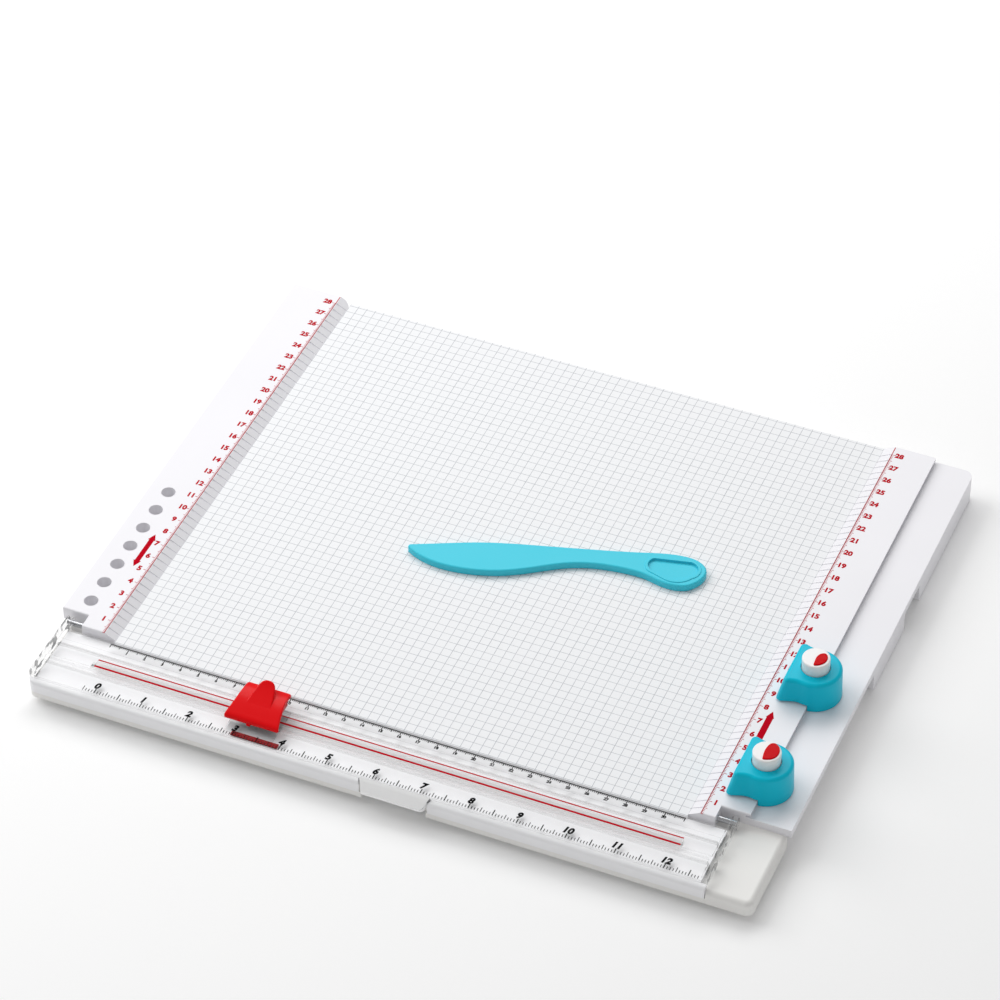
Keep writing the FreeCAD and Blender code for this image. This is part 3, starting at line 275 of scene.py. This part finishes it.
def ground_steel(name, hex_colour, rough, grit_mm):
    """Steel, ground along its length: fine parallel scratches that stretch the highlights."""
    material, tree, shader = new_material(name, Base_Color=linear(hex_colour), Metallic=1.0)
    place = node(tree, "ShaderNodeTexCoord")
    drawn = node(tree, "ShaderNodeMapping", inputs={"Vector": place.outputs["Object"],
                 "Scale": (0.05, 1, 1)})
    scratch = node(tree, "ShaderNodeTexNoise", inputs={"Vector": drawn.outputs["Vector"],
                   "Scale": 1 / (grit_mm * MM), "Detail": 3.0})
    gloss = node(tree, "ShaderNodeMapRange", inputs={"Value": scratch.outputs["Fac"], "From Min": 0.3,
                 "From Max": 0.7, "To Min": rough - 0.08, "To Max": rough + 0.08})
    relief = node(tree, "ShaderNodeBump", inputs={"Height": scratch.outputs["Fac"],
                  "Distance": 0.003 * MM, "Strength": 0.5})
    tree.links.new(gloss.outputs["Result"], shader.inputs["Roughness"])
    tree.links.new(relief.outputs["Normal"], shader.inputs["Normal"])
    return material


def finish_node(name, material):
    """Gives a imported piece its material."""
    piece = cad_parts[name]
    piece.data.materials.clear()
    piece.data.materials.append(material)


def clear_selection():
    """Leaves edit mode and deselects everything."""
    if bpy.context.object and bpy.context.object.mode != "OBJECT":
        bpy.ops.object.mode_set(mode="OBJECT")
    bpy.ops.object.select_all(action="DESELECT")


def pick(pieces):
    """Selects exactly these objects and makes the last one active."""
    clear_selection()
    for piece in pieces:
        piece.select_set(True)
    bpy.context.view_layer.objects.active = pieces[-1]


def thicken():
    """Raises the active flat shape to the print's thickness."""
    bpy.ops.object.mode_set(mode="EDIT")
    bpy.ops.mesh.select_all(action="SELECT")
    bpy.ops.mesh.extrude_region_move(TRANSFORM_OT_translate={"value": (0, 0, PRINT_T)})
    bpy.ops.mesh.select_all(action="SELECT")
    bpy.ops.mesh.normals_make_consistent(inside=False)
    bpy.ops.object.mode_set(mode="OBJECT")


def plate(name, low, high):
    """A flat printed patch: a plane drawn to size and given the print's thickness."""
    clear_selection()
    low, high = Vector(low), Vector(high)
    bpy.ops.mesh.primitive_plane_add(size=1, location=(low + high) / 2)
    patch = bpy.context.object
    patch.name = name
    patch.scale = (high.x - low.x, high.y - low.y, 1)
    bpy.ops.object.transform_apply(location=True, rotation=True, scale=True)
    thicken()
    return patch


def repeated(patch, count, step):
    """Copies a patch along a line."""
    pick([patch])
    row = patch.modifiers.new("row", "ARRAY")
    row.count = count
    row.use_relative_offset = False
    row.use_constant_offset = True
    row.constant_offset_displace = step
    bpy.ops.object.modifier_apply(modifier=row.name)
    return patch


def joined(name, pieces, material, body):
    """Joins the patches of one print into one piece that rides on a body."""
    pick(pieces)
    if len(pieces) > 1:
        bpy.ops.object.join()
    made = bpy.context.object
    made.name = name
    made.data.name = name
    made.data.materials.clear()
    made.data.materials.append(material)
    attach(made, body)


# A text object's size over the height of its digits
TEXT_SIZE = 1.37


def number(value, centre, height, bold_mm, slant=0.0):
    """One printed number, drawn flat and made a mesh."""
    clear_selection()
    bpy.ops.object.text_add(location=(0, 0, 0))
    text = bpy.context.object
    text.data.body = str(value)
    text.data.align_x = "CENTER"
    text.data.align_y = "CENTER"
    text.data.size = height * TEXT_SIZE
    text.data.shear = slant
    text.data.offset = bold_mm * MM
    text.data.extrude = PRINT_T / 2
    text.data.resolution_u = 3
    bpy.ops.object.convert(target="MESH")
    text = bpy.context.object
    text.location = centre
    bpy.ops.object.transform_apply(location=True, rotation=True, scale=True)
    return text


MATERIALS = {}


def make_materials(sizes, colours):
    """Every finish of the trimmer by name."""
    MATERIALS.update({
        # ABS, spark-eroded mould: soft, even, faintly grained white
        "body": moulded("moulded_white_abs", colours.body, 0.45, 0.42),
        # The same ABS in a greyer white
        "tray": moulded("moulded_grey_white_abs", colours.tray, 0.45, 0.45),
        # The same ABS in a whiter tone; part of the extra white is painted light, making up for the shade
        # that the clear rail's layers throw on the bed
        "bed": moulded("white_abs_lifted_against_rail_shade", colours.bed, 0.45, 0.4),
        # ABS buttons, polished mould: a little glossier than the body
        "button": moulded("polished_white_abs", "F3F3F3", 0.6, 0.25, depth_mm=0.003),
        # ABS, polished mould: deep red with soft highlights
        "carriage": moulded("glossy_red_abs", colours.carriage, 0.9, 0.26, depth_mm=0.003,
                            Specular_IOR_Level=0.12),
        # Acetal, as moulded: a plainer, darker red than the shell above it
        "slider": moulded("moulded_red_acetal", "C80C16", 0.5, 0.4, Specular_IOR_Level=0.2),
        # The cursor lies flat under clear acrylic, so it has no gloss of its own
        "cursor": moulded("matt_dark_red_acetal", "960008", 0.5, 0.5, Specular_IOR_Level=0.0),
        # ABS inlay, mirror polished mould: bright red, almost without grain
        "inlay": moulded("glossy_red_inlay", "D2000E", 1.2, 0.16, depth_mm=0.002, spread=0.02,
                         Specular_IOR_Level=0.04),
        # ABS housings, semi-gloss cyan
        "punch": moulded("moulded_cyan_abs", colours.punch, 0.6, 0.3, depth_mm=0.004,
                         Specular_IOR_Level=0.15),
        # Polypropylene, satin mould: a paler cyan with broad, dull highlights
        "folder": moulded("satin_cyan_polypropylene", colours.folder, 0.5, 0.36, depth_mm=0.005,
                          Specular_IOR_Level=0.2),
        # Polyethylene, moulded and left dull: soft enough for the blade to run in
        "strip": moulded("cutting_strip_polyethylene", "E4E6E6", 0.8, 0.5),
        # Polystyrene sheet, pressed: a flat grey underside
        "cover": moulded("pressed_grey_polystyrene", "DCDEE0", 0.7, 0.5),
        # Nylon, as moulded: near black with a soft gloss
        "holder": moulded("black_nylon", "2A2A2D", 0.5, 0.4),
        # Rubber, moulded: black and matt, with a deeper grain than the plastics
        "rubber": moulded("black_rubber", "232325", 0.35, 0.75, depth_mm=0.02),
        "board": board_sheet(sizes, colours),
        "acrylic": clear_acrylic(),
        "red_ink": ink("red_screen_ink", colours.red_ink),
        "black_ink": ink("black_screen_ink", colours.black_ink),
        # Tool steel, ground: bright, with fine scratches
        "steel": ground_steel("ground_tool_steel", "B9BABD", 0.28, 0.08),
        # Spring steel wire, drawn: a little duller than the ground parts
        "spring": ground_steel("drawn_spring_wire", "A6A7AA", 0.35, 0.15),
    })


NODE_FINISH = {
    "body": ("left_bar", "right_bar", "side_ledge"),
    "tray": ("base_tray",),
    "bed": ("front_bed",),
    "button": ("punch_button_front", "punch_button_rear"),
    "carriage": ("carriage_shell",),
    "slider": ("carriage_slider",),
    "cursor": ("cursor_bar",),
    "inlay": ("button_inlay_front", "button_inlay_rear"),
    "punch": ("punch_housing_front", "punch_housing_rear"),
    "folder": ("bone_folder",),
    "strip": ("cutting_strip",),
    "cover": ("bottom_cover",),
    "holder": ("blade_holder",),
    "rubber": ("rubber_feet",),
    "board": ("scoring_board",),
    "acrylic": ("clear_rail", "carriage_shoe"),
    "steel": ("blade", "punch_die_front", "punch_die_rear", "punch_cutter_front", "punch_cutter_rear",
              "hinge_pin_left", "hinge_pin_right", "cover_screws", "deck_screws"),
    "spring": ("carriage_springs", "punch_spring_front", "punch_spring_rear"),
}


class TRIMMER_OT_finishes(bpy.types.Operator):
    """Give every moulded, clear and steel piece its material"""
    bl_idname = "trimmer.finishes"
    bl_label = "Finishes"

    def execute(self, context):
        make_materials(context.scene.trimmer_sizes, context.scene.trimmer_colours)
        for finish, names in NODE_FINISH.items():
            for name in names:
                finish_node(name, MATERIALS[finish])
        return {"FINISHED"}


# Each spring's node, the body that it stands on, the joint that squeezes it and the joint's travel
SPRINGS = (("carriage_springs", "carriage", "blade_press", 1.0 * MM),
           ("punch_spring_front", "punch_front", "button_front_press", 3.6 * MM),
           ("punch_spring_rear", "punch_rear", "button_rear_press", 3.6 * MM))
WIRE_R = 0.28 * MM
WIRE_SIDES = 8
SPRING_TURNS = 6
STEPS_A_TURN = 20


def wind(mesh, centre, low_z, high_z, radius):
    """Winds one coil of wire round an upright line."""
    rise = (high_z - low_z - 2 * WIRE_R) / (SPRING_TURNS * STEPS_A_TURN)
    place = Matrix.Translation((centre.x + radius, centre.y, low_z + WIRE_R))
    section = bmesh.ops.create_circle(mesh, cap_ends=False, radius=WIRE_R, segments=WIRE_SIDES,
                                      matrix=place @ Matrix.Rotation(math.pi / 2, 4, "X"))
    ring = {edge for vertex in section["verts"] for edge in vertex.link_edges}
    bmesh.ops.spin(mesh, geom=list(ring) + section["verts"], cent=(centre.x, centre.y, low_z),
                   axis=(0, 0, 1), dvec=(0, 0, rise), angle=SPRING_TURNS * 2 * math.pi,
                   steps=SPRING_TURNS * STEPS_A_TURN)


class TRIMMER_OT_springs(bpy.types.Operator):
    """Wind the return springs of the blade and the buttons, which shorten when pressed; the wound coils
    stay at one length
    """
    bl_idname = "trimmer.springs"
    bl_label = "Springs"

    def execute(self, context):
        for name, body, joint, travel in SPRINGS:
            low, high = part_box(name)
            outer = (high.y - low.y) / 2
            mesh = bmesh.new()
            middle = (low.y + high.y) / 2
            for x in sorted({round(low.x + outer, 6), round(high.x - outer, 6)}):
                wind(mesh, Vector((x, middle, 0)), low.z, high.z, outer - WIRE_R)
            bmesh.ops.holes_fill(mesh, edges=[edge for edge in mesh.edges if edge.is_boundary], sides=0)
            bmesh.ops.recalc_face_normals(mesh, faces=mesh.faces)
            data = bpy.data.meshes.new(name + "_coil")
            mesh.to_mesh(data)
            mesh.free()
            coil = bpy.data.objects.new(name + "_coil", data)
            context.scene.collection.objects.link(coil)
            data.materials.append(MATERIALS["spring"])
            for face in data.polygons:
                face.use_smooth = True
            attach(coil, body)
            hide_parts(name)
            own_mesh(coil)
        return {"FINISHED"}


# The side bars' scales: how far they lie from the board, their last number and their line
BAR_SCALE_GAP = 6.1 * MM
CENTIMETRES = 28
BAR_LINE_W = 0.42 * MM
BAR_LINE_FROM, BAR_LINE_TO = 1 * MM, 286 * MM


def bar_ticks(side, edge_x, towards, top, sizes):
    """Line and millimetre ticks of a side bar, longer at 5 and 10 mm."""
    patches = [plate("bar_line_" + side, (edge_x, CORNER.y + BAR_LINE_FROM, top),
                     (edge_x + towards * BAR_LINE_W, CORNER.y + BAR_LINE_TO, top))]
    half = sizes.tick_width / 2
    for offset in range(1, 11):
        reach = sizes.tick * {10: 2.0, 5: 1.5}.get(offset, 1.0)
        y = CORNER.y + offset * MM
        tick = plate("tick", (edge_x, y - half, top), (edge_x + towards * reach, y + half, top))
        patches.append(repeated(tick, CENTIMETRES, (0, 10 * MM, 0)))
    return patches


class TRIMMER_OT_bar_scales(bpy.types.Operator):
    """Print the red centimetre scales on the two side bars"""
    bl_idname = "trimmer.bar_scales"
    bl_label = "Side bar scales"

    def execute(self, context):
        sizes = context.scene.trimmer_sizes
        bars = (("left", CORNER.x - BAR_SCALE_GAP, -1, LEFT_TOP, 5.0 * MM),
                ("right", BOARD_HIGH.x + BAR_SCALE_GAP, 1, RIGHT_TOP, 4.4 * MM))
        for side, edge_x, towards, top, reach in bars:
            patches = bar_ticks(side, edge_x, towards, top, sizes)
            joined("bar_ticks_" + side, patches, MATERIALS["red_ink"], "base")
            x = edge_x + towards * reach
            numbers = [number(value, (x, CORNER.y + value * 10 * MM, top + PRINT_T / 2),
                              sizes.number_height, bold_mm=0.24) for value in range(1, CENTIMETRES + 1)]
            joined("bar_numbers_" + side, numbers, MATERIALS["red_ink"], "base")
        return {"FINISHED"}


# An arrow's head: half its width, and its length
HEAD_HALF = 2.1 * MM
HEAD_L = 4.6 * MM


def arrow(name, x, tail_y, tip_y, top, shaft, double):
    """A printed arrow that lies along the bar: a shaft with a head at one end or at both."""
    low = tail_y + (HEAD_L if double else 0)
    patches = [plate(name, (x - shaft, low, top), (x + shaft, tip_y - HEAD_L, top))]
    for y, way in ((tip_y, 1), (tail_y, -1)) if double else ((tip_y, 1),):
        clear_selection()
        radius = HEAD_HALF / math.cos(math.radians(30))
        bpy.ops.mesh.primitive_circle_add(vertices=3, radius=radius, fill_type="NGON",
                                          location=(0, 0, 0), rotation=(0, 0, 0))
        tip = bpy.context.object
        depths = [v.co.y for v in tip.data.vertices]
        tip.scale = (1, HEAD_L / (max(depths) - min(depths)) * way, 1)
        bpy.ops.object.transform_apply(location=True, rotation=True, scale=True)
        far = (max if way > 0 else min)(v.co.y for v in tip.data.vertices)
        tip.location = (x, y - far, top)
        bpy.ops.object.transform_apply(location=True, rotation=True, scale=True)
        thicken()
        patches.append(tip)
    joined(name, patches, MATERIALS["red_ink"], "base")


class TRIMMER_OT_arrows(bpy.types.Operator):
    """Print the red arrows on the two side bars"""
    bl_idname = "trimmer.arrows"
    bl_label = "Arrows"

    def execute(self, context):
        x, y = CORNER.x, CORNER.y
        arrow("arrow_left", x - 14.7 * MM, y + 50.2 * MM, y + 75.8 * MM, LEFT_TOP, 1.35 * MM, True)
        arrow("arrow_right", x + 324.6 * MM, y + 51.0 * MM, y + 78.5 * MM, RIGHT_TOP, 1.7 * MM, False)
        return {"FINISHED"}


# Heights of the rail's printed faces above the board's, and the inch scale
RAIL_FLAT = 0.5 * MM
TRACK_FLOOR = 1.0 * MM
EDGE_FACE = 1.4 * MM
INCH = 25.4 * MM
INCHES = 12


class TRIMMER_OT_rail_prints(bpy.types.Operator):
    """Print the black inch scale and the red slot lines on the clear rail"""
    bl_idname = "trimmer.rail_prints"
    bl_label = "Rail prints"

    def execute(self, context):
        sizes = context.scene.trimmer_sizes
        top = CORNER.z + RAIL_FLAT
        zero_x = CORNER.x + 6.9 * MM
        base_y = CORNER.y - 36.8 * MM
        patches = []
        for step in range(16):
            tall = {0: 3.0, 8: 4.0, 4: 3.0, 12: 3.0}.get(step, 1.8) * MM
            half = (0.27 if step in (0, 8) else 0.2) * MM
            first = -1 if step >= 12 else 0
            tick_x = zero_x + (first + step / 16) * INCH
            tick = plate("tick", (tick_x - half, base_y, top), (tick_x + half, base_y + tall, top))
            patches.append(repeated(tick, INCHES + 1, (INCH, 0, 0)))
        joined("inch_ticks", patches, MATERIALS["black_ink"], "rail")
        number_y = CORNER.y - 31.8 * MM
        numbers = [number(value, (zero_x + value * INCH - 0.5 * MM, number_y, top + PRINT_T / 2),
                          sizes.inch_height, bold_mm=0.3, slant=0.2) for value in range(INCHES + 1)]
        joined("inch_numbers", numbers, MATERIALS["black_ink"], "rail")
        floor = CORNER.z + TRACK_FLOOR
        lines = [plate("line", (CORNER.x - 1.3 * MM, CORNER.y + (y - w / 2) * MM, floor),
                       (CORNER.x + 314 * MM, CORNER.y + (y + w / 2) * MM, floor))
                 for y, w in ((-19.9, 1.1), (-15.4, 0.75))]
        joined("slot_lines", lines, MATERIALS["red_ink"], "rail")
        return {"FINISHED"}


class TRIMMER_OT_edge_scale(bpy.types.Operator):
    """Print the fine black scale on the rail's back edge"""
    bl_idname = "trimmer.edge_scale"
    bl_label = "Rail edge scale"

    def execute(self, context):
        start = CORNER + Vector((0, -3.1 * MM, EDGE_FACE))
        patches = [plate("line", start - Vector((0.3, 0.5, 0)) * MM,
                         start + Vector((310.3, 0, 0)) * MM)]
        for step in range(10):
            tall = {0: 2.5, 5: 1.9}.get(step, 1.3) * MM
            half = (0.24 if step % 5 == 0 else 0.17) * MM
            x = start.x + step * MM
            tick = plate("tick", (x - half, start.y - tall, start.z), (x + half, start.y, start.z))
            patches.append(repeated(tick, 32 if step == 0 else 31, (10 * MM, 0, 0)))
        joined("edge_scale", patches, MATERIALS["black_ink"], "rail")
        numbers = [number(value, start + Vector((value * 10, -3.4, 0)) * MM, 1.7 * MM, bold_mm=0.15)
                   for value in range(1, 31)]
        joined("edge_numbers", numbers, MATERIALS["black_ink"], "rail")
        return {"FINISHED"}


# Camera solved from the corners of the grid, in millimetres from the board's front left corner
CAMERA_TARGET = Vector((138.01, 171.8, 0.0)) * MM
CAMERA_AZIMUTH = math.radians(23.58)
CAMERA_ELEVATION = math.radians(42.73)
CAMERA_ROLL = math.radians(-0.68)
CAMERA_DISTANCE = 2202.73 * MM
CAMERA_LENS = 151.77


def camera_matrix():
    """Place and rotation of the camera, from its target, angles and distance."""
    azimuth, elevation, roll = CAMERA_AZIMUTH, CAMERA_ELEVATION, CAMERA_ROLL
    back = Vector((math.sin(azimuth) * math.cos(elevation),
                   -math.cos(azimuth) * math.cos(elevation), math.sin(elevation)))
    right = Vector((math.cos(azimuth), math.sin(azimuth), 0))
    up = back.cross(right)
    turned = math.cos(roll) * right + math.sin(roll) * up
    up = math.cos(roll) * up - math.sin(roll) * right
    place = CORNER + CAMERA_TARGET + back * CAMERA_DISTANCE
    rotation = Matrix((turned, up, back)).transposed().to_4x4()
    return Matrix.Translation(place) @ rotation


# The soft boxes: name, place and sides in metres, and watts
SOFT_BOXES = (("soft_box_back", (-0.35, 1.2, 1.5), (1.4, 1.0), 13),
              ("soft_box_left", (-1.3, 0.2, 1.2), (1.3, 1.3), 17),
              ("soft_box_front", (0.5, -1.6, 0.9), (1.6, 1.2), 0.3))
AIR_STRENGTH = 0.40
FLOOR_SIDE = 12


def soft_light(name, place, sides, watts):
    """A large soft box that points at the middle of the trimmer."""
    clear_selection()
    bpy.ops.object.light_add(type="AREA", location=place)
    lamp = bpy.context.object
    lamp.name = name
    lamp.data.shape = "RECTANGLE"
    lamp.data.size, lamp.data.size_y = sides
    lamp.data.energy = watts
    lamp.rotation_euler = (-Vector(place)).to_track_quat("-Z", "Y").to_euler()


class TRIMMER_OT_studio(bpy.types.Operator):
    """Lay the pale floor, hang the soft lights and set up the camera"""
    bl_idname = "trimmer.studio"
    bl_label = "Studio"

    def execute(self, context):
        clear_selection()
        bpy.ops.mesh.primitive_plane_add(size=FLOOR_SIDE, location=(0, 0, CAD_BOX[0][2]))
        floor = bpy.context.object
        floor.name = "floor"
        # Matt white paper, which glows a little, as a brightly lit sweep does
        material, tree, shader = new_material("white_paper_sweep", Roughness=0.9, IOR=1.4,
                                              Emission_Strength=0.05)
        place = node(tree, "ShaderNodeTexCoord")
        fibre = node(tree, "ShaderNodeTexNoise", inputs={"Vector": place.outputs["Object"],
                     "Scale": 1 / (3 * MM)})
        tint = node(tree, "ShaderNodeMapRange", inputs={"Value": fibre.outputs["Fac"],
                    "To Min": 0.975, "To Max": 0.985})
        tree.links.new(tint.outputs["Result"], shader.inputs["Base Color"])
        floor.data.materials.append(material)
        world = bpy.data.worlds.new("studio_air")
        context.scene.world = world
        world.use_nodes = True
        air = world.node_tree.nodes["Background"]
        air.inputs["Color"].default_value = (1, 1, 1, 1)
        air.inputs["Strength"].default_value = AIR_STRENGTH
        for box in SOFT_BOXES:
            soft_light(*box)
        clear_selection()
        bpy.ops.object.camera_add()
        camera = bpy.context.object
        camera.name = "camera"
        camera.data.sensor_width = 36
        camera.data.lens = CAMERA_LENS
        camera.data.clip_end = 50
        camera.matrix_world = camera_matrix()
        context.scene.camera = camera
        context.scene.view_settings.view_transform = "Standard"
        return {"FINISHED"}


class TRIMMER_PT_panel(bpy.types.Panel):
    """Sizes, colours and steps of the paper trimmer"""
    bl_label = "Paper Trimmer"
    bl_idname = "TRIMMER_PT_panel"
    bl_space_type = "VIEW_3D"
    bl_region_type = "UI"
    bl_category = "Trimmer"

    def draw(self, context):
        layout = self.layout
        for group in (context.scene.trimmer_sizes, context.scene.trimmer_colours):
            for name in group.bl_rna.properties.keys():
                if name not in ("rna_type", "name"):
                    layout.prop(group, name)
        for step in STEPS:
            layout.operator(step.bl_idname)


STEPS = (TRIMMER_OT_finishes, TRIMMER_OT_springs, TRIMMER_OT_bar_scales, TRIMMER_OT_arrows,
         TRIMMER_OT_rail_prints, TRIMMER_OT_edge_scale, TRIMMER_OT_studio)
CLASSES = (TrimmerSizes, TrimmerColours) + STEPS + (TRIMMER_PT_panel,)


def register():
    for one in CLASSES:
        bpy.utils.register_class(one)
    bpy.types.Scene.trimmer_sizes = bpy.props.PointerProperty(type=TrimmerSizes)
    bpy.types.Scene.trimmer_colours = bpy.props.PointerProperty(type=TrimmerColours)


def unregister():
    del bpy.types.Scene.trimmer_colours
    del bpy.types.Scene.trimmer_sizes
    for one in reversed(CLASSES):
        bpy.utils.unregister_class(one)


def main():
    register()
    bpy.ops.trimmer.finishes()
    bpy.ops.trimmer.springs()
    bpy.ops.trimmer.bar_scales()
    bpy.ops.trimmer.arrows()
    bpy.ops.trimmer.rail_prints()
    bpy.ops.trimmer.edge_scale()
    bpy.ops.trimmer.studio()


if __name__ == "__main__":
    main()
